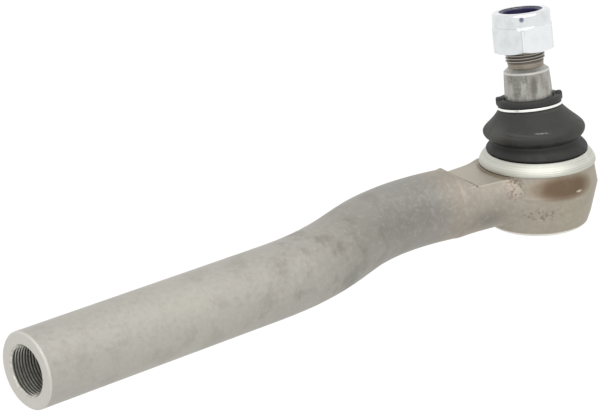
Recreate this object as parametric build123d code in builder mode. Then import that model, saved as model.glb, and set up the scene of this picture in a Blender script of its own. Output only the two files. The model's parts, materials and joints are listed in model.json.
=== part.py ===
from build123d import *
from math import asin, cos, degrees, radians, sin, sqrt, tan
import os

os.makedirs("parts", exist_ok=True)

# Frame: the origin is the centre of the rod's end face, the rod runs along +X,
# and +Z is the axis of the ball housing, towards the stud.

# ---------- driving sizes, millimetres ----------
bar_radius = 17.65           # round forged bar
ball_x = 321.0                # end face to ball centre
ball_y = 4.1                  # the ball sits a little to one side of the rod's axis
crank_start_x = 164.3         # corner where the bar leaves the rod's axis
crank_end_x = 233.2           # corner where it turns back towards the ball
crank_offset = 24.6
first_bend_radius = 150.0
second_bend_radius = 104.0
end_chamfer = 0.8

thread_major_radius = 12.0    # M24 x 1.5, cut to its major diameter
thread_length = 48.0
tap_drill_radius = 11.2
tap_drill_extra = 8.0
drill_tip_angle = 31.0

rim_height = 12.4             # top of the housing's wall
rim_width = 6.8               # rim outside the boot's collar
parting_height = 1.5          # widest line of the forging
parting_bulge = 1.9
foot_height = -20.1
heel_height = -13.5           # the cup turns in below this line
heel_radius = 26.95
foot_radius = 24.8
foot_round = 3.2
flat_height = 11.0            # machined flat beside the housing
flat_length = 44.2            # from the ball's axis to the foot of the ramp
ramp_angle = 34.0
ledge_width = 1.1             # rough ledge between the flat and the clamp ring
ledge_rise = 1.1
ledge_back = 17.5
ledge_front = 13.5
flare_start = 54.0            # the round bar ends and the flared arm begins
collar_height = 14.8          # collar inside the boot's base
collar_radius = 21.6
collar_wall = 2.7

ball_radius = 16.5
ball_flat_depth = 13.5
neck_radius = 10.0
running_clearance = 0.05

socket_radius = 20.0
swing_half_angle = 25.3       # the mouth lets the stud lean this far
mouth_clearance = 0.35
seat_split_gap = 0.8
seat_end_gap = 0.1
seat_hole_radius = 8.0        # grease hole through the lower seat

cover_radius = 22.0
cover_thickness = 2.2
crimp_height = 1.3
crimp_width = 1.5
cover_dish = 0.9
cover_dish_radius = 13.6
cover_dish_taper = 30.0
seal_section = 0.75
spring_gap = 1.5
spring_thickness = 0.8
spring_inner_radius = 9.5
spring_outer_radius = 18.0

lean_side = 7.5               # rest pose of the stud, degrees towards +Y
lean_along = 0.9              # and towards +X

taper_start = 40.0            # heights along the stud, from the ball centre
taper_end = 58.8
taper_end_radius = 11.45
taper_per_mm = 0.05           # 1:10 on diameter
undercut_start = 60.7
undercut_end = 62.8
undercut_radius = 9.0
stud_thread_radius = 9.2      # M20 x 1.5, drawn at its minor diameter
stud_thread_major = 10.0
stud_end = 84.2
stud_end_chamfer = 0.9
neck_flare = 3.0              # length of the neck's flare for each mm it widens

nut_bottom = 69.0
nut_across_flats = 30.0
nut_hex_height = 13.3
nut_height = 20.0
nut_collar_radius = 14.7
nut_collar_round = 1.6
nut_edge_round = 0.8
nut_chamfer_start = 0.3        # the corner chamfer begins this far inside the flats
nut_chamfer_angle = 30.0
nut_mouth_chamfer = 0.8
nut_bore_clearance = 0.06
nut_turn = 44.5               # corner angle about the stud
insert_pocket_radius = 12.2
insert_hole_radius = 9.35
insert_bottom = 84.4
insert_height = 3.9
insert_opening_radius = 10.95
insert_gap = 0.05
insert_chamfer = 0.5

boot_wall = 2.2
boot_gap = 0.35                # soft boot clear of the ring and of the stud
ring_gap = 0.4                # dark gap between the rim and the clamp ring
ring_height = 5.9
ring_shoulder_drop = 2.5      # the shoulder bulges half-way at this drop below the top
ring_shoulder_width = 2.7
ring_lip = 0.9                # flat lip round the boot
ring_lip_edge = 0.35          # height of the lip's straight inner edge
ring_wall = 1.5
ring_skirt_step = 1.3
ring_skirt = 1.0              # nearly upright skirt at the ring's foot
ring_skirt_draft = 0.1
ring_skirt_inside = 1.6
neck_ring_height = 40.9
neck_ring_radius = 16.3       # outside
neck_ring_width = 1.3
neck_ring_thickness = 0.7
neck_ring_gap = 0.3           # soft boot clear of the neck ring
neck_groove_half = 1.0        # half the width of the groove's floor
neck_groove_edge = 1.6        # half its width at the outside
neck_lip_rise = 0.3           # how far its shoulders stand outside the ring
boot_top = 45.6
boot_base_lift = 0.1
boot_grip_drop = 1.2          # the boot is straight up to this far below the ring's top
waist_rise = 3.6              # height of the waist above the ring
waist_radius = 23.3
waist_lean = 0.22             # shares of the stud's lean
lobe_low_height = 26.2
lobe_low_radius = 25.9
lobe_low_lean = 0.45
lobe_high_height = 28.8
lobe_high_radius = 26.2
lobe_high_lean = 0.55
shoulder_height = 34.0
shoulder_radius = 22.4
shoulder_lean = 0.75

# ---------- places worked out from them ----------
ball = Vector(ball_x, ball_y, 0)
housing_axis = Axis(ball, (0, 0, 1))
housing_side = Plane(origin=ball, x_dir=(1, 0, 0), z_dir=(0, -1, 0))
arm_x = crank_end_x - ball_x
arm_y = crank_offset - ball_y
arm_length = sqrt(arm_x**2 + arm_y**2)
arm_out = Vector(arm_x / arm_length, arm_y / arm_length, 0)
arm_side = Plane(origin=ball, x_dir=arm_out, z_dir=arm_out.cross(Vector(0, 0, 1)))

stud_up = Vector(
    sin(radians(lean_along)),
    sin(radians(lean_side)) * cos(radians(lean_along)),
    cos(radians(lean_side)) * cos(radians(lean_along)),
)
stud_x = Vector(1, 0, 0) - stud_up * stud_up.X
stud_x = stud_x.normalized()
stud_axis = Axis(ball, stud_up)
stud_side = Plane(origin=ball, x_dir=stud_x, z_dir=stud_x.cross(stud_up))


def stud_plane(height):
    """Plane across the stud at a height above the ball centre."""
    return Plane(origin=ball + stud_up * height, x_dir=stud_x, z_dir=stud_up)


def leaning_plane(height, share):
    """Plane across the boot, leaning by a share of the stud's rest lean."""
    side = radians(lean_side * share)
    along = radians(lean_along * share)
    up = Vector(sin(along), sin(side) * cos(along), cos(side) * cos(along))
    return Plane(origin=ball + up * height, x_dir=(1, 0, 0), z_dir=up)


# The rim, the clamp ring and the ledge follow the collar that carries the boot.
rim_radius = collar_radius + rim_width
parting_radius = rim_radius + parting_bulge
ring_lip_radius = collar_radius + boot_wall + 2 * boot_gap
ring_top_radius = ring_lip_radius + ring_lip
ring_shoulder_radius = ring_top_radius + ring_shoulder_width
ring_outer_radius = ring_shoulder_radius + ring_skirt_step
ledge_radius = ring_outer_radius + ledge_width

cover_bottom = foot_height + crimp_height
cover_top = cover_bottom + cover_thickness
spring_top = cover_top + spring_gap
seat_radius = socket_radius - running_clearance
seat_bore = ball_radius + running_clearance

# The mouth: a circle just outside the ball, wide enough for the leaning neck.
lip_distance = ball_radius + mouth_clearance
lip_angle = swing_half_angle + degrees(asin((neck_radius + mouth_clearance) / lip_distance))
lip_radius = lip_distance * sin(radians(lip_angle))
socket_top = lip_distance * cos(radians(lip_angle))
collar_bore = collar_radius - collar_wall

taper_start_radius = taper_end_radius + taper_per_mm * (taper_end - taper_start)

# ---------- rod body: bar, crank, arm and ball housing in one forging ----------
with BuildPart() as rod_body:
    with BuildLine() as centre_line:
        Polyline(
            (0, 0),
            (crank_start_x, 0),
            (crank_end_x, crank_offset),
            ball + arm_out * flare_start,
        )
        corners = centre_line.vertices().sort_by(Axis.X)
        fillet(corners[1], radius=first_bend_radius)
        corners = centre_line.vertices().sort_by(Axis.X)
        fillet(corners[-2], radius=second_bend_radius)
    with BuildSketch(Plane.YZ):
        Circle(bar_radius)
    sweep(path=centre_line.wires()[0])
    chamfer(rod_body.edges().filter_by(GeomType.CIRCLE).sort_by(Axis.X)[0], length=end_chamfer)

    # The arm's flanks widen into the housing, more at the back than in front.
    # Distance from the ball's axis, then what the back, front and half height
    # add to the bar's radius, and how much smaller the back and front corners are.
    flare_sections = (
        (flare_start, 0.0, 0.0, 0.0, 0.1, 0.1),
        (47.0, 0.5, -0.1, -0.5, 0.9, 0.7),
        (40.0, 1.6, -0.2, -1.1, 1.9, 1.3),
        (34.0, 2.8, -0.2, -1.5, 3.0, 1.8),
        (29.0, 4.3, 0.1, -1.9, 4.0, 2.3),
        (25.0, 6.0, 1.3, -2.3, 5.5, 2.8),
        (20.0, 8.4, 4.6, -2.9, 6.6, 3.6),
        (14.0, 10.6, 8.3, -3.6, 7.6, 4.6),
    )
    for distance, back_extra, front_extra, height_extra, back_drop, front_drop in flare_sections:
        back_width = bar_radius + back_extra
        front_width = bar_radius + front_extra
        with BuildSketch(Plane(origin=ball + arm_out * distance, x_dir=arm_side.z_dir, z_dir=arm_out)):
            with Locations(((back_width - front_width) / 2, 0)):
                Rectangle(back_width + front_width, 2 * (bar_radius + height_extra))
            fillet(vertices().group_by(Axis.X)[-1], radius=bar_radius - back_drop)
            fillet(vertices().group_by(Axis.X)[0], radius=bar_radius - front_drop)
    loft()

    # Machined flat with its ramp, beside the housing.
    with BuildSketch(arm_side):
        with BuildLine():
            ramp_rise = 2 * bar_radius
            Polyline(
                (0, flat_height),
                (flat_length, flat_height),
                (flat_length + ramp_rise / tan(radians(ramp_angle)), flat_height + ramp_rise),
                (0, flat_height + ramp_rise),
                close=True,
            )
        make_face()
    extrude(amount=2 * bar_radius, both=True, mode=Mode.SUBTRACT)

    # Housing cup with the collar that carries the boot.
    with BuildSketch(housing_side):
        with BuildLine():
            Polyline(
                (0, foot_height),
                (foot_radius, foot_height),
                (heel_radius, heel_height),
                (parting_radius, parting_height),
                (rim_radius, rim_height),
                (collar_radius, rim_height),
                (collar_radius, collar_height),
                (0, collar_height),
                close=True,
            )
        make_face()
        foot_corner = vertices().group_by(Axis.Y)[0].sort_by(Axis.X)[-1]
        fillet(foot_corner, radius=foot_round)
    revolve(axis=housing_axis)

    # Rough ledge left on the flat, just outside the clamp ring.
    with BuildSketch(Plane(origin=ball + Vector(0, 0, flat_height), x_dir=arm_out, z_dir=(0, 0, 1))):
        Circle(ledge_radius)
        with Locations((ledge_radius, (ledge_front - ledge_back) / 2)):
            Rectangle(ledge_radius, ledge_front + ledge_back, mode=Mode.INTERSECT)
    extrude(amount=ledge_rise)

    # Socket, mouth and the seat of the cover.
    with BuildSketch(housing_side):
        with BuildLine():
            Polyline(
                (0, foot_height),
                (cover_radius - crimp_width, foot_height),
                (cover_radius - crimp_width, cover_bottom),
                (cover_radius, cover_bottom),
                (cover_radius, cover_top),
                (socket_radius + 2 * seal_section, cover_top),
                (socket_radius + 2 * seal_section, cover_top + 2 * seal_section),
                (socket_radius, cover_top + 2 * seal_section),
                (socket_radius, socket_top),
                (lip_radius, socket_top),
                (collar_bore, collar_height),
                (0, collar_height),
                close=True,
            )
        make_face()
    revolve(axis=housing_axis, mode=Mode.SUBTRACT)

    # Threaded bore with its tapping drill's tip.
    drill_depth = thread_length + tap_drill_extra
    with BuildSketch(Plane.XZ):
        with BuildLine():
            Polyline(
                (0, 0),
                (0, thread_major_radius),
                (thread_length, thread_major_radius),
                (thread_length + thread_major_radius - tap_drill_radius, tap_drill_radius),
                (drill_depth, tap_drill_radius),
                (drill_depth + tap_drill_radius * tan(radians(drill_tip_angle)), 0),
                close=True,
            )
        make_face()
    revolve(axis=Axis.X, mode=Mode.SUBTRACT)

rod_body.part.label = "rod_body"
export_step(rod_body.part, "parts/rod_body.step")

# ---------- bearing seats ----------
with BuildPart() as upper_seat:
    with BuildSketch(housing_side):
        with Locations((seat_radius / 2, (seat_split_gap / 2 + socket_top - seat_end_gap) / 2)):
            Rectangle(seat_radius, socket_top - seat_end_gap - seat_split_gap / 2)
    revolve(axis=housing_axis)
    with BuildSketch(housing_side):
        Circle(seat_bore)
        with Locations((-seat_bore, 0)):
            Rectangle(2 * seat_bore, 2 * seat_bore, mode=Mode.SUBTRACT)
    revolve(axis=housing_axis, mode=Mode.SUBTRACT)

upper_seat.part.label = "upper_seat"
export_step(upper_seat.part, "parts/upper_seat.step")

with BuildPart() as lower_seat:
    lower_height = -seat_split_gap / 2 - spring_top
    with BuildSketch(housing_side):
        with Locations(((seat_radius + seat_hole_radius) / 2, spring_top + lower_height / 2)):
            Rectangle(seat_radius - seat_hole_radius, lower_height)
    revolve(axis=housing_axis)
    with BuildSketch(housing_side):
        Circle(seat_bore)
        with Locations((-seat_bore, 0)):
            Rectangle(2 * seat_bore, 2 * seat_bore, mode=Mode.SUBTRACT)
    revolve(axis=housing_axis, mode=Mode.SUBTRACT)

lower_seat.part.label = "lower_seat"
export_step(lower_seat.part, "parts/lower_seat.step")

# ---------- preload spring, cover and its seal ----------
with BuildPart() as preload_spring:
    with BuildSketch(housing_side):
        with BuildLine():
            Polyline(
                (spring_inner_radius, spring_top),
                (spring_inner_radius, spring_top - spring_thickness),
                (spring_outer_radius, cover_top),
                (spring_outer_radius, cover_top + spring_thickness),
                close=True,
            )
        make_face()
    revolve(axis=housing_axis)

preload_spring.part.label = "preload_spring"
export_step(preload_spring.part, "parts/preload_spring.step")

with BuildPart() as cover_plate:
    with BuildSketch(housing_side):
        with Locations((cover_radius / 2, (cover_bottom + cover_top) / 2)):
            Rectangle(cover_radius, cover_thickness)
    revolve(axis=housing_axis)
    with BuildSketch(Plane(origin=ball + Vector(0, 0, cover_bottom), z_dir=(0, 0, -1))):
        Circle(cover_dish_radius)
    extrude(amount=-cover_dish, taper=cover_dish_taper, mode=Mode.SUBTRACT)

cover_plate.part.label = "cover_plate"
export_step(cover_plate.part, "parts/cover_plate.step")

with BuildPart() as cover_seal:
    with BuildSketch(housing_side):
        with Locations((socket_radius + seal_section, cover_top + seal_section)):
            Circle(seal_section)
    revolve(axis=housing_axis)

cover_seal.part.label = "cover_seal"
export_step(cover_seal.part, "parts/cover_seal.step")

# ---------- plated ring that clamps the boot's base ----------
ring_bottom = rim_height + ring_gap
ring_top = ring_bottom + ring_height
with BuildPart() as boot_clamp_ring:
    with BuildSketch(housing_side):
        with BuildLine():
            outer_side = Line(
                (ring_outer_radius, ring_bottom),
                (ring_outer_radius - ring_skirt_draft, ring_bottom + ring_skirt),
            )
            shoulder = ThreePointArc(
                outer_side @ 1,
                (ring_shoulder_radius, ring_top - ring_shoulder_drop),
                (ring_top_radius, ring_top),
            )
            Polyline(
                shoulder @ 1,
                (ring_lip_radius, ring_top - ring_lip_edge),
                (ring_lip_radius, ring_top - ring_wall),
                (ring_outer_radius - ring_wall, ring_bottom + ring_skirt_inside),
                (ring_outer_radius - ring_wall, ring_bottom),
                outer_side @ 0,
            )
        make_face()
    revolve(axis=housing_axis)

boot_clamp_ring.part.label = "boot_clamp_ring"
export_step(boot_clamp_ring.part, "parts/boot_clamp_ring.step")

# ---------- dust boot, leaning with the stud ----------
# Height above the ball centre, outer radius, share of the stud's lean.
boot_base_radius = ring_lip_radius - boot_gap
groove_radius = neck_ring_radius - neck_ring_thickness - neck_ring_gap
neck_lip_radius = neck_ring_radius + neck_lip_rise
boot_sections = (
    (ring_bottom + boot_base_lift, boot_base_radius, 0.0),
    (ring_top - boot_grip_drop, boot_base_radius, 0.0),
    (ring_top + waist_rise, waist_radius, waist_lean),
    (lobe_low_height, lobe_low_radius, lobe_low_lean),
    (lobe_high_height, lobe_high_radius, lobe_high_lean),
    (shoulder_height, shoulder_radius, shoulder_lean),
    (neck_ring_height - neck_groove_edge, neck_lip_radius, 1.0),
    (neck_ring_height - neck_groove_half, groove_radius, 1.0),
    (neck_ring_height + neck_groove_half, groove_radius, 1.0),
    (neck_ring_height + neck_groove_edge, neck_lip_radius, 1.0),
    (boot_top, neck_lip_radius, 1.0),
)
lip_bore = taper_start_radius + boot_gap
cut_beyond = 0.5              # the inside is cut a little past both ends

with BuildPart() as dust_boot:
    for height, radius, share in boot_sections:
        with BuildSketch(leaning_plane(height, share)):
            Circle(radius)
    loft(ruled=True)
    first_height, first_radius, first_share = boot_sections[0]
    last_height, last_radius, last_share = boot_sections[-1]
    inner_sections = (
        (first_height - cut_beyond, first_radius, first_share),
        *boot_sections[1:-1],
        (last_height + cut_beyond, last_radius, last_share),
    )
    for height, radius, share in inner_sections:
        with BuildSketch(leaning_plane(height, share)):
            Circle(max(radius - boot_wall, lip_bore))
    loft(ruled=True, mode=Mode.SUBTRACT)

dust_boot.part.label = "dust_boot"
export_step(dust_boot.part, "parts/dust_boot.step")

with BuildPart() as boot_neck_ring:
    with BuildSketch(stud_side):
        with Locations((neck_ring_radius - neck_ring_thickness / 2, neck_ring_height)):
            Rectangle(neck_ring_thickness, neck_ring_width)
    revolve(axis=stud_axis)
    fillet(boot_neck_ring.edges().filter_by(GeomType.CIRCLE), radius=neck_ring_thickness / 4)

boot_neck_ring.part.label = "boot_neck_ring"
export_step(boot_neck_ring.part, "parts/boot_neck_ring.step")

# ---------- ball stud ----------
neck_height = sqrt(ball_radius**2 - neck_radius**2)
flat_radius = sqrt(ball_radius**2 - ball_flat_depth**2)
with BuildPart() as ball_stud:
    with BuildSketch(stud_side):
        with BuildLine():
            neck_top = taper_start - neck_flare * (taper_start_radius - neck_radius)
            ball_arc = ThreePointArc(
                (flat_radius, -ball_flat_depth),
                (ball_radius, 0),
                (neck_radius, neck_height),
            )
            Polyline(
                ball_arc @ 1,
                (neck_radius, neck_top),
                (taper_start_radius, taper_start),
                (taper_end_radius, taper_end),
                (undercut_radius, undercut_start),
                (undercut_radius, undercut_end),
                (stud_thread_radius, undercut_end),
                (stud_thread_radius, stud_end - stud_end_chamfer),
                (stud_thread_radius - stud_end_chamfer, stud_end),
                (0, stud_end),
                (0, -ball_flat_depth),
                ball_arc @ 0,
            )
        make_face()
    revolve(axis=stud_axis)

ball_stud.part.label = "ball_stud"
export_step(ball_stud.part, "parts/ball_stud.step")

# ---------- lock nut with its nylon insert ----------
nut_bore = stud_thread_major + nut_bore_clearance
corner_radius = nut_across_flats / 2 / cos(radians(30))
with BuildPart() as lock_nut:
    with BuildSketch(stud_plane(nut_bottom)):
        hexagon = RegularPolygon(corner_radius, 6, rotation=nut_turn)
        fillet(hexagon.vertices(), radius=nut_edge_round)
    extrude(amount=nut_hex_height)
    # The corners are turned off at a shallow angle, top and bottom.
    chamfer_radius = nut_across_flats / 2 - nut_chamfer_start
    corner_drop = (corner_radius - chamfer_radius) * tan(radians(nut_chamfer_angle))
    with BuildSketch(stud_side):
        with BuildLine():
            Polyline(
                (0, nut_bottom),
                (chamfer_radius, nut_bottom),
                (corner_radius, nut_bottom + corner_drop),
                (corner_radius, nut_bottom + nut_hex_height - corner_drop),
                (chamfer_radius, nut_bottom + nut_hex_height),
                (0, nut_bottom + nut_hex_height),
                close=True,
            )
        make_face()
    revolve(axis=stud_axis, mode=Mode.INTERSECT)
    nut_top = nut_bottom + nut_height
    with BuildSketch(stud_side):
        with BuildLine():
            collar_round = nut_collar_round
            round_start = nut_top - collar_round
            Line((0, nut_bottom + nut_hex_height), (nut_collar_radius, nut_bottom + nut_hex_height))
            Line((nut_collar_radius, nut_bottom + nut_hex_height), (nut_collar_radius, round_start))
            RadiusArc(
                (nut_collar_radius, round_start),
                (nut_collar_radius - collar_round, nut_top),
                radius=-collar_round,
            )
            Line((nut_collar_radius - collar_round, nut_top), (0, nut_top))
            Line((0, nut_top), (0, nut_bottom + nut_hex_height))
        make_face()
    revolve(axis=stud_axis)
    with BuildSketch(stud_side):
        with BuildLine():
            Polyline(
                (0, nut_bottom),
                (nut_bore + nut_mouth_chamfer, nut_bottom),
                (nut_bore, nut_bottom + nut_mouth_chamfer),
                (nut_bore, insert_bottom - insert_gap),
                (insert_pocket_radius, insert_bottom - insert_gap),
                (insert_pocket_radius, insert_bottom + insert_height + insert_gap),
                (insert_opening_radius, insert_bottom + insert_height + insert_gap),
                (insert_opening_radius, nut_top),
                (0, nut_top),
                close=True,
            )
        make_face()
    revolve(axis=stud_axis, mode=Mode.SUBTRACT)

lock_nut.part.label = "lock_nut"
export_step(lock_nut.part, "parts/lock_nut.step")

with BuildPart() as nylon_insert:
    insert_radius = insert_pocket_radius - insert_gap
    with BuildSketch(stud_side):
        with Locations(((insert_radius + insert_hole_radius) / 2, insert_bottom + insert_height / 2)):
            Rectangle(insert_radius - insert_hole_radius, insert_height)
    revolve(axis=stud_axis)
    chamfer(nylon_insert.edges().filter_by(GeomType.CIRCLE).sort_by(stud_axis)[-1], length=insert_chamfer)

nylon_insert.part.label = "nylon_insert"
export_step(nylon_insert.part, "parts/nylon_insert.step")
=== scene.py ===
import json
from math import pi, radians

import bmesh
import bpy
from mathutils import Matrix, Quaternion, Vector


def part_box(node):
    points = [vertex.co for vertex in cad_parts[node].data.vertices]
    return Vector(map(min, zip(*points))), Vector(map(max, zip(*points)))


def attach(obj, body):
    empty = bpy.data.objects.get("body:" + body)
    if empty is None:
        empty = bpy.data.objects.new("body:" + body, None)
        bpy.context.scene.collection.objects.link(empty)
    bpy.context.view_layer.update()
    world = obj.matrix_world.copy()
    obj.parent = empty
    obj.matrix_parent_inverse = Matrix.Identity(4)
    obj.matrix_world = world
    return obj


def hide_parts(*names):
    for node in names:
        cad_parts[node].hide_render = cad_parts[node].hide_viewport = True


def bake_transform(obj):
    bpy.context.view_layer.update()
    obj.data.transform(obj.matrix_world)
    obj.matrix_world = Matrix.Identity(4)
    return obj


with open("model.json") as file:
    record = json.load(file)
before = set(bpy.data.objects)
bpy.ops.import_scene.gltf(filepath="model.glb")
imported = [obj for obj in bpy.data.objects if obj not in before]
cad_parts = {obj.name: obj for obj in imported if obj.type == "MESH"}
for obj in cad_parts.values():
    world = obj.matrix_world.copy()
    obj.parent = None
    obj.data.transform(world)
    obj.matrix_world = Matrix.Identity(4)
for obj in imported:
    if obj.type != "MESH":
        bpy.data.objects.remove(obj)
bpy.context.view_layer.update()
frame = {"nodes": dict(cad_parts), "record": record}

# ---------- places and sizes that the frame gives ----------
MM = 0.001
joints = {joint["name"]: joint for joint in frame["record"]["behaviour"]["joints"]}
BALL = Vector(joints["stud_rock"]["pos_m"])
STUD_UP = Vector(joints["stud_spin"]["axis"]).normalized()
HOUSING_UP = Vector((0, 0, 1))
LEAN = HOUSING_UP.rotation_difference(STUD_UP)
FLOOR_DROP = 250.0 * MM         # the part hangs clear of the floor, so no shadow touches it
FLOOR_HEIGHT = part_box("rod_body")[0][2] - FLOOR_DROP

# ---------- sizes that go with the CAD pieces ----------
BORE_RADIUS = 12.0 * MM
BORE_DEPTH = 48.0 * MM
MOUTH_CONE = 0.8 * MM
THREAD_PITCH = 1.5 * MM
THREAD_HEIGHT = 0.8 * MM
THREAD_SINK = 0.03 * MM         # how far a thread's root sits in the wall that carries it
STUD_ROOT = 9.2 * MM
STUD_THREAD_START = 62.8 * MM
STUD_THREAD_END = 84.2 * MM
NUT_CORNER = 44.5               # degrees about the stud to a corner of the hexagon
LUG_TURN = 139.0                # degrees about the stud to one of the two lugs

# ---------- the camera's place, and which way it looks ----------
CAMERA_PLACE = (-0.5527, -0.8234, 0.4191)
CAMERA_FORWARD = (0.61572, 0.71312, -0.33518)
CAMERA_UP = (0.25272, 0.22419, 0.94121)

# ---------- where the finishes change ----------
# the forging's tone along the rod: share of the span, and colour
TONE_SPAN = 0.36
ROD_TONES = (
    (0.0, "a5a29b"), (0.22, "a7a49c"), (0.42, "9e9b94"), (0.52, "8f8c84"), (0.66, "8b8983"),
    (0.70, "8c8982"), (0.725, "958d82"), (0.82, "9b9488"), (0.88, "9a9384"), (1.0, "958d7f"),
)
# zones with two soft edges: where each starts, is full, begins to fade and ends
CRANK_ZONE = (0.10, 0.16, 0.20, 0.25)                           # metres along the rod
TAPER_RIM = (57.6 * MM, 58.2 * MM, 58.8 * MM, 59.2 * MM)        # up the stud, from the ball's centre
STUD_SHOULDER = (57.8 * MM, 58.5 * MM, 60.2 * MM, 60.6 * MM)
CORNER_SHADE = [radians(a) for a in (25.6, 28.4, 28.8, 29.4)]   # in each sixth of a turn round the nut
CORNER_LIGHT = [radians(a) for a in (28.6, 29.6, 30.6, 31.6)]
# single soft edges: where a finish has not begun, and where it is full
CUT_END = (0.9 * MM, 0.7 * MM)          # along the rod
INSIDE_MOUTH = (0.6 * MM, 1.0 * MM)
FOOT_RIM = (-17.9 * MM, -18.6 * MM)     # up the housing
UNDERCUT = (60.3 * MM, 60.9 * MM)       # up the stud
THREADED = (62.6 * MM, 63.2 * MM)
HEXAGON = (82.6 * MM, 82.2 * MM)
# painted shade on the lower part of the boot
BOOT_LOW_SHADE = (28.0 * MM, 23.5 * MM)      # up the boot
# patches: centre from the ball's centre and reach, in millimetres, turn in degrees, solid share
LEVEL = (0, 0, 0)
HEAT_TAN = ((-9.0, -26.0, 6.2), (22.0, 13.0, 8.0), (0, 0, -24), 0.5)
HEAT_BURNT = ((-8.0, -27.4, 6.2), (22.0, 10.0, 7.4), (0, 0, -17), 0.4)
HEAT_CHIP = ((-1.6, -30.0, 3.2), (2.6, 2.2, 0.8), (0, 0, -6), 0.2)
RUST_BY_ARM = ((-27.0, -9.0, 6.0), (7.0, 8.0, 9.0), LEVEL, 0.35)
RUST_LOW_DOWN = ((-19.0, -19.5, -7.0), (15.0, 13.0, 5.0), LEVEL, 0.35)
MACHINED_FLAT = ((-36.0, 6.0, 11.0), (15.0, 30.0, 0.5), (0, 0, -13), 0.9)
# painted shade along the corner at the ramp's foot
RAMP_FOOT_SHADE = ((-44.9, 2.0, 11.0), (0.8, 15.0, 0.8), (0, 0, -13), 0.5)
ROUGH_LEDGE = ((-28.0, 2.0, 12.2), (5.0, 20.0, 1.3), (0, 0, -13), 0.8)
TAPER_STRIPE = ((-5.2, -3.3, 52.5), (2.6, 2.6, 9.0), LEVEL, 0.3)
# painted highlight on one flat of the hexagon
NUT_FLAT_HIGHLIGHT = ((-1.5, -6.0, 76.0), (11.0, 12.0, 12.0), LEVEL, 0.8)
NUT_SPOT = ((-9.0, 1.0, 87.2), (1.6, 1.6, 1.8), LEVEL, 0.4)
# painted highlight on one side of the boot's upper lobe
BOOT_SIDE_HIGHLIGHT = ((-25.0, 6.0, 30.0), (12.0, 12.0, 9.0), LEVEL, 0.1)
BOOT_SCUFF = ((-14.0, -17.0, 33.3), (5.2, 3.0, 0.4), (0, 0, -34), 0.3)
# darker scale in the crank, and painted shade low on the bar's front and under the arm: a patch and how
# strong it is
CRANK_SCALE_AND_LOW_SHADE = (
    (((-101.0, 3.0, 4.0), (26.0, 16.0, 12.0), LEVEL, 0.1), 0.48),
    (((-78.0, -3.0, 6.0), (20.0, 18.0, 14.0), LEVEL, 0.1), 0.40),
    (((-142.0, -13.0, -8.0), (9.0, 14.0, 12.0), LEVEL, 0.1), 0.55),
    (((-44.0, -10.0, -8.0), (20.0, 16.0, 12.0), LEVEL, 0.1), 0.55),
)


def add_piece(name, shape, body=None, smooth_angle=35):
    """Makes an object of a bmesh, shaded smooth up to an angle, riding on a body."""
    mesh = bpy.data.meshes.new(name)
    shape.to_mesh(mesh)
    shape.free()
    mesh.shade_smooth()
    mesh.set_sharp_from_angle(angle=radians(smooth_angle))
    piece = bpy.data.objects.new(name, mesh)
    bpy.context.collection.objects.link(piece)
    if body:
        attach(piece, body)
    return piece


def clean(shape):
    """Merges doubled vertices, then points the faces outwards."""
    bmesh.ops.remove_doubles(shape, verts=shape.verts, dist=0.001 * MM)
    bmesh.ops.recalc_face_normals(shape, faces=shape.faces)


# ---------- camera, light and floor ----------
def aim(thing, place, forward, up):
    """Puts a camera or light at a place, looking forward, with its top towards up."""
    back = -Vector(forward).normalized()
    side = Vector(up).cross(back).normalized()
    top = back.cross(side)
    turn = Matrix((side, top, back)).transposed().to_4x4()
    thing.matrix_world = Matrix.Translation(place) @ turn


def add_camera():
    """A long lens, from above and in front of the threaded end."""
    data = bpy.data.cameras.new("camera")
    data.sensor_width = 36.0
    data.lens = 150.4
    camera = bpy.data.objects.new("camera", data)
    bpy.context.collection.objects.link(camera)
    aim(camera, CAMERA_PLACE, CAMERA_FORWARD, CAMERA_UP)
    bpy.context.scene.camera = camera


def add_soft_sun(name, forward, strength, spread):
    """A large distant softbox: even light with soft shadows, its spread in degrees."""
    data = bpy.data.lights.new(name, "SUN")
    data.energy = strength
    data.angle = radians(spread)
    light = bpy.data.objects.new(name, data)
    bpy.context.collection.objects.link(light)
    aim(light, BALL - Vector(forward), forward, (0, 0, 1))


def add_pale_room():
    """White light from every side."""
    world = bpy.data.worlds.new("studio")
    world.use_nodes = True
    sky = world.node_tree.nodes["Background"]
    sky.inputs["Color"].default_value = (1, 1, 1, 1)
    sky.inputs["Strength"].default_value = 1.05
    bpy.context.scene.world = world
    bpy.context.scene.view_settings.view_transform = "Standard"


def add_floor():
    """A wide white sweep, well below the part."""
    shape = bmesh.new()
    bmesh.ops.create_grid(shape, x_segments=1, y_segments=1, size=4.0)
    bmesh.ops.translate(shape, vec=(0, 0, FLOOR_HEIGHT), verts=shape.verts)
    floor = add_piece("floor", shape)
    give(floor, new_finish("white_sweep", Base_Color=tint("dbdbda"), Roughness=0.9)[0])


# ---------- materials ----------
def tint(code):
    """An sRGB hex colour as the linear colour that the shaders take."""
    channels = [int(code[i:i + 2], 16) / 255 for i in (0, 2, 4)]
    linear = [c / 12.92 if c <= 0.04045 else ((c + 0.055) / 1.055) ** 2.4 for c in channels]
    return (*linear, 1.0)


def add_node(tree, kind, sockets=None, **settings):
    """Adds a node: settings are its properties, sockets its values or the outputs linked to it."""
    node = tree.nodes.new(kind)
    for name, value in settings.items():
        setattr(node, name, value)
    for name, value in (sockets or {}).items():
        if isinstance(value, bpy.types.NodeSocket):
            tree.links.new(value, node.inputs[name])
        else:
            node.inputs[name].default_value = value
    return node


def new_finish(name, **shader_values):
    """A material with one Principled shader, and the piece's own coordinates."""
    material = bpy.data.materials.new(name)
    material.use_nodes = True
    tree = material.node_tree
    shader = tree.nodes["Principled BSDF"]
    for socket, value in shader_values.items():
        shader.inputs[socket.replace("_", " ")].default_value = value
    place = add_node(tree, "ShaderNodeTexCoord").outputs["Object"]
    return material, tree, shader, place


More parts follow.
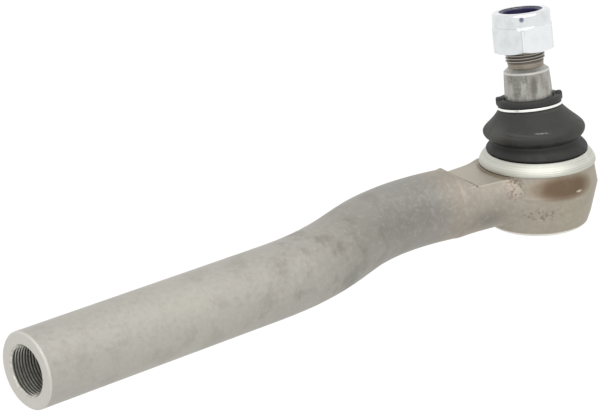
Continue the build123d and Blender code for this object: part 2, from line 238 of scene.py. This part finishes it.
def grain(tree, place, size_mm, detail=3.0, roughness=0.55, stretch=(1, 1, 1)):
    """Noise whose lumps are about size_mm across, 0 to 1."""
    lumps = 1.0 / (size_mm * MM)
    scaled = add_node(tree, "ShaderNodeMapping", {"Vector": place, "Scale": [lumps * s for s in stretch]})
    noise = add_node(
        tree, "ShaderNodeTexNoise",
        {"Vector": scaled.outputs[0], "Scale": 1.0, "Detail": detail, "Roughness": roughness},
    )
    return noise.outputs["Fac"]


def ease(tree, value, low, high, bottom=0.0, top=1.0):
    """Turns value from low to high into bottom to top, with soft ends."""
    return add_node(
        tree, "ShaderNodeMapRange",
        {"Value": value, "From Min": low, "From Max": high, "To Min": bottom, "To Max": top},
        interpolation_type="SMOOTHSTEP",
    ).outputs[0]


def patch(tree, place, centre_mm, reach_mm, turn, core):
    """1 inside a soft ellipsoid about a point measured from the ball's centre, 0 outside."""
    moved = add_node(
        tree, "ShaderNodeMapping",
        {
            "Vector": place,
            "Location": BALL + Vector(centre_mm) * MM,
            "Rotation": [radians(a) for a in turn],
            "Scale": [r * MM for r in reach_mm],
        },
        vector_type="TEXTURE",
    )
    away = add_node(tree, "ShaderNodeVectorMath", {0: moved.outputs[0]}, operation="LENGTH")
    return ease(tree, away.outputs["Value"], core, 1.0, 1.0, 0.0)


def from_ball(tree, place):
    """The piece's coordinates measured from the ball's centre."""
    return add_node(tree, "ShaderNodeVectorMath", {0: place, 1: BALL}, operation="SUBTRACT").outputs[0]


def along_stud(tree, place):
    """The piece's coordinates measured from the ball's centre, with Z up the leaning stud."""
    return add_node(
        tree, "ShaderNodeMapping", {"Vector": place, "Location": BALL, "Rotation": LEAN.to_euler()},
        vector_type="TEXTURE",
    ).outputs[0]


def off_axis(tree, across, up):
    """Distance from an axis, from the two coordinates across it."""
    flat = add_node(tree, "ShaderNodeCombineXYZ", {0: across, 1: up}).outputs[0]
    return add_node(tree, "ShaderNodeVectorMath", {0: flat}, operation="LENGTH").outputs["Value"]


def overlap(tree, mask, *others):
    """Several masks and amounts as one: their product."""
    for other in others:
        mask = add_node(tree, "ShaderNodeMath", {0: mask, 1: other}, operation="MULTIPLY").outputs[0]
    return mask


def between(tree, value, starts, full, fades, ends):
    """1 while value is between full and fades, easing to 0 outside starts and ends."""
    return overlap(tree, ease(tree, value, starts, full), ease(tree, value, ends, fades))


def paint(tree, under, over, *masks):
    """Lays one colour over another, as strongly as all the masks and amounts together say."""
    return add_node(
        tree, "ShaderNodeMix", {0: overlap(tree, *masks), 6: under, 7: over},
        data_type="RGBA", blend_type="MIX", clamp_factor=True,
    ).outputs[2]


def relief(tree, shader, height, depth_mm, strength):
    """Makes the surface rise and fall with a pattern."""
    bump = add_node(
        tree, "ShaderNodeBump", {"Height": height, "Distance": depth_mm * MM, "Strength": strength}
    )
    tree.links.new(bump.outputs[0], shader.inputs["Normal"])


def shot_blasted_forging():
    """Medium-carbon steel forging, shot blasted and lightly oiled: dull warm grey, finely
    pitted, with darker scale left in the crank, rust starting where the arm meets the cup, and painted
    shade low on the bar, under the arm and at the ramp's foot."""
    material, tree, shader, place = new_finish("shot_blasted_forging", Metallic=0.65)
    along, _, height = add_node(tree, "ShaderNodeSeparateXYZ", {0: place}).outputs
    share = add_node(tree, "ShaderNodeMath", {0: along, 1: 1 / TONE_SPAN}, operation="MULTIPLY").outputs[0]
    tones = add_node(tree, "ShaderNodeValToRGB", {0: share})
    ramp = tones.color_ramp
    while len(ramp.elements) < len(ROD_TONES):
        ramp.elements.new(1.0)
    for element, (spot, code) in zip(ramp.elements, ROD_TONES):
        element.position = spot
        element.color = tint(code)
    skin = tones.outputs["Color"]
    # soft dark scale, heavier in the crank
    scale_marks = ease(tree, grain(tree, place, 14.0, 4.0, 0.6), 0.48, 0.68)
    in_crank = between(tree, along, *CRANK_ZONE)
    skin = paint(tree, skin, tint("77736a"), scale_marks, ease(tree, in_crank, 0, 1, 0.18, 0.55))
    blotches = ease(tree, grain(tree, place, 8.0), 0.3, 0.6, 0.6, 1.0)
    # darker scale in the crank, and painted shade low on the bar's front and under the arm
    for shade, amount in CRANK_SCALE_AND_LOW_SHADE:
        skin = paint(tree, skin, tint("66655f"), patch(tree, place, *shade), amount, blotches)
    # blasting mottle, light and dark
    mottle = grain(tree, place, 2.2, 3.0, 0.6)
    skin = paint(tree, skin, tint("c9c6bd"), ease(tree, mottle, 0.42, 0.75, 0.0, 0.20))
    skin = paint(tree, skin, tint("7d7970"), ease(tree, mottle, 0.48, 0.22, 0.0, 0.24))
    # heat tint of the hardened patch, high on the cup's front, with a bright chip in it
    clouded = ease(tree, grain(tree, place, 9.0, 2.0), 0.25, 0.55, 0.7, 1.0)
    skin = paint(tree, skin, tint("7d6243"), patch(tree, place, *HEAT_TAN), clouded, 0.6)
    skin = paint(tree, skin, tint("564330"), patch(tree, place, *HEAT_BURNT), clouded, 0.75)
    skin = paint(tree, skin, tint("cfc5b3"), patch(tree, place, *HEAT_CHIP), 0.75)
    # rust specks by the arm and low on the cup
    specks = ease(tree, grain(tree, place, 1.6, 4.0, 0.7), 0.50, 0.60)
    skin = paint(tree, skin, tint("5e3f20"), specks, patch(tree, place, *RUST_BY_ARM), 0.9)
    skin = paint(tree, skin, tint("6a5a45"), specks, patch(tree, place, *RUST_LOW_DOWN), 0.6)
    # the arm's machined flat, lighter, with painted shade in the corner at the ramp's foot and a rough
    # ledge
    skin = paint(tree, skin, tint("b0a99d"), patch(tree, place, *MACHINED_FLAT), 0.6)
    skin = paint(tree, skin, tint("4a443b"), patch(tree, place, *RAMP_FOOT_SHADE), 0.8)
    roughened = ease(tree, mottle, 0.35, 0.6, 0.3, 1.0)
    skin = paint(tree, skin, tint("8d7a60"), patch(tree, place, *ROUGH_LEDGE), 0.55, roughened)
    # bare cut metal: the end face with its chamfer, and the rim of the foot
    skin = paint(tree, skin, tint("c3c1ba"), ease(tree, along, *CUT_END), 0.8)
    skin = paint(tree, skin, tint("e4e2db"), ease(tree, height, *FOOT_RIM), 0.8)
    tree.links.new(skin, shader.inputs["Base Color"])
    tree.links.new(ease(tree, mottle, 0.3, 0.7, 0.46, 0.62), shader.inputs["Roughness"])
    relief(tree, shader, grain(tree, place, 1.1, 4.0, 0.65), 0.22, 0.55)
    return material


def cut_thread_steel():
    """Freshly cut thread in the forging: brighter and glossier than the blasted skin."""
    material, tree, shader, place = new_finish("cut_thread_steel", Metallic=0.9, Roughness=0.28)
    along, across, height = add_node(tree, "ShaderNodeSeparateXYZ", {0: place}).outputs
    skin = paint(tree, tint("c9c7c0"), tint("a5a29a"), ease(tree, grain(tree, place, 2.0), 0.35, 0.7))
    # painted shade in the thread's roots, from the mouth inwards
    radius = off_axis(tree, across, height)
    root_shade = ease(tree, radius, BORE_RADIUS - 0.6 * MM, BORE_RADIUS - 0.1 * MM)
    skin = paint(tree, skin, tint("34302a"), root_shade, ease(tree, along, *INSIDE_MOUTH), 0.9)
    tree.links.new(skin, shader.inputs["Base Color"])
    return material


def bright_zinc():
    """Zinc-plated pressed steel: pale, faintly green, with fine drawing lines round it."""
    material, tree, shader, place = new_finish("bright_zinc", Metallic=0.85)
    x, y, height = add_node(tree, "ShaderNodeSeparateXYZ", {0: from_ball(tree, place)}).outputs
    round_ring = add_node(tree, "ShaderNodeCombineXYZ", {0: off_axis(tree, x, y), 2: height}).outputs[0]
    lines = grain(tree, round_ring, 0.9, 3.0, 0.7)
    clouds = grain(tree, place, 7.0, 3.0)
    skin = paint(tree, tint("c6c6bd"), tint("adada3"), ease(tree, lines, 0.35, 0.65))
    skin = paint(tree, skin, tint("d6d7d0"), ease(tree, clouds, 0.5, 0.75, 0.0, 0.35))
    tree.links.new(skin, shader.inputs["Base Color"])
    tree.links.new(ease(tree, clouds, 0.3, 0.7, 0.44, 0.56), shader.inputs["Roughness"])
    relief(tree, shader, lines, 0.05, 0.5)
    return material


def polished_wire():
    """Bright spring-steel band: nearly white in a pale room."""
    material, tree, shader, place = new_finish(
        "polished_wire", Base_Color=tint("f2f2ee"), Metallic=0.9, Roughness=0.22)
    relief(tree, shader, grain(tree, place, 2.0), 0.02, 0.4)
    return material


def ground_stud_steel():
    """Induction-hardened, ground alloy steel: satin with faint lengthwise streaks and oil stains,
    browner at the undercut, with painted shade in the thread's roots."""
    material, tree, shader, place = new_finish("ground_stud_steel", Metallic=0.8)
    upright = along_stud(tree, place)
    x, y, height = add_node(tree, "ShaderNodeSeparateXYZ", {0: upright}).outputs
    streaks = grain(tree, upright, 4.5, 3.0, 0.6, (1, 1, 0.3))
    stains = grain(tree, upright, 7.0, 4.0, 0.65, (1, 1, 0.45))
    fine = grain(tree, upright, 0.75, 3.0, 0.75)
    skin = paint(tree, tint("a3a29c"), tint("8a8780"), ease(tree, streaks, 0.40, 0.66))
    skin = paint(tree, skin, tint("625f58"), ease(tree, stains, 0.50, 0.62, 0.0, 0.55))
    skin = paint(tree, skin, tint("c6c5bf"), ease(tree, fine, 0.50, 0.75, 0.0, 0.55))
    skin = paint(tree, skin, tint("6f6c65"), ease(tree, fine, 0.46, 0.28, 0.0, 0.45))
    # an oily stripe down the taper's front
    skin = paint(tree, skin, tint("4e4b46"), patch(tree, place, *TAPER_STRIPE), 0.6)
    # turned shoulder above the taper, bare, with a light rim
    skin = paint(tree, skin, tint("a9a8a2"), between(tree, height, *STUD_SHOULDER), 0.5)
    skin = paint(tree, skin, tint("cfcec9"), between(tree, height, *TAPER_RIM), 0.7)
    # undercut, oily and brown, with light turning marks
    undercut = ease(tree, height, *UNDERCUT)
    turning = ease(tree, grain(tree, upright, 0.5, 1.0, 0.5, (0.01, 0.01, 1)), 0.5, 0.6)
    skin = paint(tree, skin, tint("75695a"), undercut, 0.8)
    skin = paint(tree, skin, tint("a59d90"), undercut, turning, 0.6)
    # thread, lighter on the crests, with painted shade in the roots
    threaded = ease(tree, height, *THREADED)
    radius = off_axis(tree, x, y)
    root_shade = ease(tree, radius, STUD_ROOT + 0.15 * MM, STUD_ROOT + THREAD_HEIGHT, 0.85, 0.0)
    skin = paint(tree, skin, tint("cac7c0"), threaded, 0.8)
    skin = paint(tree, skin, tint("3d352a"), threaded, root_shade)
    tree.links.new(skin, shader.inputs["Base Color"])
    tree.links.new(ease(tree, stains, 0.4, 0.7, 0.34, 0.5), shader.inputs["Roughness"])
    relief(tree, shader, fine, 0.05, 0.5)
    return material


def bright_plated_nut():
    """Bright zinc with a clear passivate: very light, faintly blue, slightly wavy."""
    material, tree, shader, place = new_finish("bright_plated_nut", Metallic=0.95)
    upright = along_stud(tree, place)
    x, y, height = add_node(tree, "ShaderNodeSeparateXYZ", {0: upright}).outputs
    clouds = grain(tree, place, 5.0, 3.0)
    skin = paint(tree, tint("dcdfe0"), tint("d2d5d6"), ease(tree, clouds, 0.4, 0.7))
    # each corner of the hexagon catches the light and has a thin shade beside it
    sixth, half_sixth = radians(60), radians(30)
    bearing = add_node(tree, "ShaderNodeMath", {0: y, 1: x}, operation="ARCTAN2").outputs[0]
    from_flat = add_node(
        tree, "ShaderNodeMath", {0: bearing, 1: radians(NUT_CORNER) + half_sixth}, operation="SUBTRACT",
    ).outputs[0]
    in_sixth = add_node(
        tree, "ShaderNodeMath", {0: from_flat, 1: sixth, 2: 0.0}, operation="WRAP",
    ).outputs[0]
    hexagon = ease(tree, height, *HEXAGON)
    skin = paint(tree, skin, tint("b4babe"), between(tree, in_sixth, *CORNER_SHADE), hexagon, 0.5)
    skin = paint(tree, skin, tint("f6f7f8"), between(tree, in_sixth, *CORNER_LIGHT), hexagon, 0.5)
    # a painted highlight on one flat of the hexagon
    skin = paint(tree, skin, tint("edf0f2"), patch(tree, place, *NUT_FLAT_HIGHLIGHT), hexagon, 0.5)
    # one bluish spot on the collar's rim
    skin = paint(tree, skin, tint("5e6680"), patch(tree, place, *NUT_SPOT), 0.9)
    tree.links.new(skin, shader.inputs["Base Color"])
    tree.links.new(ease(tree, clouds, 0.3, 0.7, 0.16, 0.24), shader.inputs["Roughness"])
    relief(tree, shader, grain(tree, place, 1.2), 0.03, 0.5)
    return material


def moulded_nylon():
    """Dyed polyamide insert: deep violet blue with a low sheen."""
    material, tree, shader, place = new_finish("moulded_nylon", Roughness=0.35, IOR=1.53)
    wear = grain(tree, place, 1.5)
    skin = paint(tree, tint("1d183c"), tint("2a2450"), ease(tree, wear, 0.45, 0.7))
    tree.links.new(skin, shader.inputs["Base Color"])
    relief(tree, shader, wear, 0.04, 0.4)
    return material


def moulded_rubber():
    """Chloroprene boot, moulded and matte: charcoal, dusty, with faint rings from the mould."""
    material, tree, shader, place = new_finish("moulded_rubber", Specular_IOR_Level=0.4)
    centred = from_ball(tree, place)
    dust = grain(tree, centred, 5.0, 4.0, 0.65)
    rings = grain(tree, centred, 1.4, 2.0, 0.5, (0.04, 0.04, 1))
    fine = grain(tree, centred, 0.9, 3.0, 0.7)
    skin = paint(tree, tint("21211f"), tint("2c2c2a"), ease(tree, dust, 0.35, 0.7))
    skin = paint(tree, skin, tint("464541"), ease(tree, rings, 0.58, 0.72, 0.0, 0.35))
    skin = paint(tree, skin, tint("45443f"), ease(tree, fine, 0.6, 0.8, 0.0, 0.4))
    # painted shade on the boot's lower part near the clamp ring, a painted highlight on one side of the
    # fold, one scuff
    height = add_node(tree, "ShaderNodeSeparateXYZ", {0: centred}).outputs["Z"]
    skin = paint(tree, skin, tint("10100f"), ease(tree, height, *BOOT_LOW_SHADE), 0.75)
    # a painted highlight on one side of the fold
    skin = paint(tree, skin, tint("45443f"), patch(tree, place, *BOOT_SIDE_HIGHLIGHT), 0.6)
    scratched = ease(tree, fine, 0.4, 0.6)
    skin = paint(tree, skin, tint("8a8983"), patch(tree, place, *BOOT_SCUFF), 0.85, scratched)
    tree.links.new(skin, shader.inputs["Base Color"])
    tree.links.new(ease(tree, dust, 0.3, 0.7, 0.50, 0.68), shader.inputs["Roughness"])
    relief(tree, shader, fine, 0.06, 0.5)
    return material


def plain_finish(name, code, metallic, roughness, lump_mm):
    """For the pieces inside and under: one colour with a little variation."""
    material, tree, shader, place = new_finish(name, Metallic=metallic, Roughness=roughness)
    lumps = grain(tree, place, lump_mm)
    red, green, blue, _ = tint(code)
    darker = (red * 0.75, green * 0.75, blue * 0.75, 1.0)
    skin = paint(tree, tint(code), darker, ease(tree, lumps, 0.35, 0.7))
    tree.links.new(skin, shader.inputs["Base Color"])
    relief(tree, shader, lumps, 0.05, 0.5)
    return material


def give(piece, material):
    """Covers a piece with one material."""
    piece.data.materials.clear()
    piece.data.materials.append(material)


# ---------- threads ----------
def screw_thread(root, crest, start, turns, steps_per_turn=72):
    """A helical ridge round the local Z axis: one pitch of profile, screwed along."""
    shape = bmesh.new()
    root_flat = 0.10                # share of the pitch at each end of the profile
    crest_flat = THREAD_PITCH * 0.14
    middle = THREAD_PITCH / 2
    profile = (
        (root, 0.0),
        (root, THREAD_PITCH * root_flat),
        (crest, middle - crest_flat / 2),
        (crest, middle + crest_flat / 2),
        (root, THREAD_PITCH * (1 - root_flat)),
        (root, THREAD_PITCH),
    )
    corners = [shape.verts.new((radius, 0, start + height)) for radius, height in profile]
    runs = [shape.edges.new(pair) for pair in zip(corners, corners[1:])]
    bmesh.ops.spin(
        shape, geom=corners + runs, cent=(0, 0, 0), axis=(0, 0, 1),
        dvec=(0, 0, THREAD_PITCH / steps_per_turn), angle=2 * pi * turns, steps=turns * steps_per_turn,
        use_merge=False, use_duplicate=False,
    )
    bmesh.ops.remove_doubles(shape, verts=shape.verts, dist=0.004 * MM)
    return shape


def point_faces(shape, outwards):
    """Faces of an open thread point away from its axis, or towards it."""
    for face in shape.faces:
        away = Vector((face.calc_center_median().x, face.calc_center_median().y, 0))
        if (face.normal.dot(away) > 0) != outwards:
            face.normal_flip()


def add_bore_thread(finish):
    """The rod's thread, cut back by a cone at the mouth, with the cone's own face."""
    root = BORE_RADIUS + THREAD_SINK
    turns = int(BORE_DEPTH / THREAD_PITCH) - 1
    shape = screw_thread(root, BORE_RADIUS - THREAD_HEIGHT, 0.0, turns)
    for vert in shape.verts:
        radius = Vector((vert.co.x, vert.co.y)).length
        lead_in = max(radius, root - vert.co.z) / radius
        vert.co.x *= lead_in
        vert.co.y *= lead_in
    mouth = [shape.verts.new((root, 0, 0)), shape.verts.new((root - MOUTH_CONE, 0, MOUTH_CONE))]
    bmesh.ops.spin(
        shape, geom=mouth + [shape.edges.new(mouth)], cent=(0, 0, 0), axis=(0, 0, 1),
        angle=2 * pi, steps=96, use_merge=True, use_duplicate=False,
    )
    shape.normal_update()
    point_faces(shape, False)
    bmesh.ops.rotate(shape, verts=shape.verts, cent=(0, 0, 0), matrix=Matrix.Rotation(pi / 2, 3, "Y"))
    piece = add_piece("bore_thread", shape, "housing", 20)
    give(piece, finish)


def add_stud_thread(finish):
    """The stud's thread, leaning with it."""
    turns = int((STUD_THREAD_END - STUD_THREAD_START) / THREAD_PITCH) - 1
    shape = screw_thread(STUD_ROOT - THREAD_SINK, STUD_ROOT + THREAD_HEIGHT, STUD_THREAD_START, turns)
    point_faces(shape, True)
    bmesh.ops.rotate(shape, verts=shape.verts, cent=(0, 0, 0), matrix=LEAN.to_matrix())
    bmesh.ops.translate(shape, vec=BALL, verts=shape.verts)
    piece = add_piece("stud_thread", shape, "stud", 20)
    give(piece, finish)


# ---------- dust boot ----------
# height above the ball's centre and outer radius, from the clamp ring to the lip
BOOT_OUTSIDE = (
    (15.2, 24.0), (18.4, 24.0), (18.9, 24.8), (19.5, 25.8), (20.4, 25.5), (21.9, 24.2), (23.3, 22.6),
    (24.1, 22.0), (24.9, 22.7), (26.0, 24.5), (27.6, 25.7), (29.6, 25.9), (31.4, 24.6), (33.2, 22.5),
    (35.2, 20.2),
    (37.4, 18.0), (38.8, 16.9), (40.0, 15.75), (40.2, 15.62), (41.6, 15.62), (41.8, 15.75),
    (42.1, 16.35), (43.4, 16.6), (44.7, 16.5), (45.3, 16.1),
)
# and its inner radius, from the lip back down
BOOT_INSIDE = (
    (45.3, 12.9), (44.6, 12.65), (42.0, 12.65), (38.8, 13.6), (35.6, 17.4), (32.0, 21.6),
    (29.4, 23.6), (27.8, 23.6), (26.0, 22.4), (24.1, 21.0), (22.0, 21.8), (18.6, 22.2), (15.2, 22.2),
)
LEAN_STARTS = 19.0 * MM
LEAN_ENDS = 39.5 * MM
LEAN_HURRY = 0.7                # under 1, so that the boot leans more in its lower part
SEAM_HEIGHT = 29.6 * MM
# a lug: its size, and its centre out from the stud's axis and up it
LUG_SIZE = (3.4 * MM, 4.6 * MM, 4.4 * MM)
LUG_CENTRE = (15.0 * MM, 0, 44.2 * MM)
LUG_ROUNDING = 1.1 * MM


def lean_at(height):
    """How the boot's rings lean, from level at the clamp ring to square with the stud."""
    share = min(1.0, max(0.0, (height - LEAN_STARTS) / (LEAN_ENDS - LEAN_STARTS))) ** LEAN_HURRY
    return Quaternion().slerp(LEAN, share)


def boot_shell():
    """The whole boot: its section spun about the housing's axis, smoothed, then bent over."""
    shape = bmesh.new()
    section = [shape.verts.new(BALL + Vector((radius, 0, height)) * MM)
               for height, radius in BOOT_OUTSIDE + BOOT_INSIDE]
    sides = [shape.edges.new(pair) for pair in zip(section, section[1:] + section[:1])]
    bmesh.ops.spin(
        shape, geom=section + sides, cent=BALL, axis=HOUSING_UP, angle=2 * pi, steps=48,
        use_merge=True, use_duplicate=False,
    )
    clean(shape)
    rough = add_piece("boot_section", shape)
    smoothing = rough.modifiers.new("smoothing", "SUBSURF")
    smoothing.levels = smoothing.render_levels = 2
    seen = rough.evaluated_get(bpy.context.evaluated_depsgraph_get())
    smooth = bpy.data.meshes.new_from_object(seen)
    bpy.data.objects.remove(rough)
    shape = bmesh.new()
    shape.from_mesh(smooth)
    for vert in shape.verts:
        offset = vert.co - BALL
        vert.co = BALL + lean_at(offset.z) @ offset
    shape.normal_update()
    return shape


def boot_half(shell, keep_lower):
    """One side of the seam, closed across the cut."""
    lean = lean_at(SEAM_HEIGHT)
    half = shell.copy()
    normal = lean @ HOUSING_UP
    cut = bmesh.ops.bisect_plane(
        half, geom=half.verts[:] + half.edges[:] + half.faces[:], dist=0.0001 * MM,
        plane_co=BALL + normal * SEAM_HEIGHT, plane_no=normal,
        clear_outer=keep_lower, clear_inner=not keep_lower,
    )
    rim = [item for item in cut["geom_cut"] if isinstance(item, bmesh.types.BMEdge)]
    bmesh.ops.bridge_loops(half, edges=rim)
    bmesh.ops.recalc_face_normals(half, faces=half.faces)
    return half


def add_boot(finish):
    """The boot in two halves, cut at the seam and closed, in place of the CAD boot."""
    shell = boot_shell()
    normal = lean_at(SEAM_HEIGHT) @ HOUSING_UP
    lower = add_piece("boot_lower", boot_half(shell, True))
    upper = add_piece("boot_upper", boot_half(shell, False))
    shell.free()
    for half in (lower, upper):
        give(half, finish)
        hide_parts("dust_boot")
    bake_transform(lower)
    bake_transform(upper)


def add_lip_lugs(finish):
    """Two small lugs for pulling the boot's lip over the stud, one at each side."""
    shape = bmesh.new()
    for direction in (LUG_TURN, LUG_TURN + 180):
        turn = Matrix.Rotation(radians(direction), 3, "Z")
        lug = bmesh.ops.create_cube(shape, size=1.0)["verts"]
        bmesh.ops.scale(shape, vec=LUG_SIZE, verts=lug)
        bmesh.ops.translate(shape, vec=LUG_CENTRE, verts=lug)
        bmesh.ops.rotate(shape, verts=lug, cent=(0, 0, 0), matrix=turn)
    bmesh.ops.bevel(
        shape, geom=shape.edges[:], offset=LUG_ROUNDING, offset_type="OFFSET", segments=4, profile=0.5,
        affect="EDGES", clamp_overlap=True, material=-1,
    )
    clean(shape)
    bmesh.ops.rotate(shape, verts=shape.verts, cent=(0, 0, 0), matrix=LEAN.to_matrix())
    bmesh.ops.translate(shape, vec=BALL, verts=shape.verts)
    lugs = add_piece("boot_lip_lugs", shape, "neck", 50)
    give(lugs, finish)


# ---------- put together ----------
forging = shot_blasted_forging()
stud_steel = ground_stud_steel()
rubber = moulded_rubber()
finishes = {
    "rod_body": forging,
    "upper_seat": plain_finish("moulded_acetal", "d8d4c6", 0.0, 0.45, 4.0),
    "lower_seat": plain_finish("moulded_acetal_cup", "d8d4c6", 0.0, 0.45, 4.0),
    "preload_spring": plain_finish("oiled_spring_steel", "5c5c5e", 0.9, 0.35, 3.0),
    "cover_plate": plain_finish("pressed_cover_steel", "a3a29c", 0.8, 0.42, 3.0),
    "cover_seal": plain_finish("nitrile_seal", "262626", 0.0, 0.6, 2.0),
    "boot_clamp_ring": bright_zinc(),
    "dust_boot": rubber,
    "boot_neck_ring": polished_wire(),
    "ball_stud": stud_steel,
    "lock_nut": bright_plated_nut(),
    "nylon_insert": moulded_nylon(),
}
for node, finish in finishes.items():
    give(frame["nodes"][node], finish)

add_camera()
add_bore_thread(cut_thread_steel())
add_stud_thread(stud_steel)
add_boot(rubber)
add_lip_lugs(rubber)

add_floor()
add_pale_room()
add_soft_sun("front_softbox", (0.30, 0.55, -0.78), strength=1.7, spread=75)
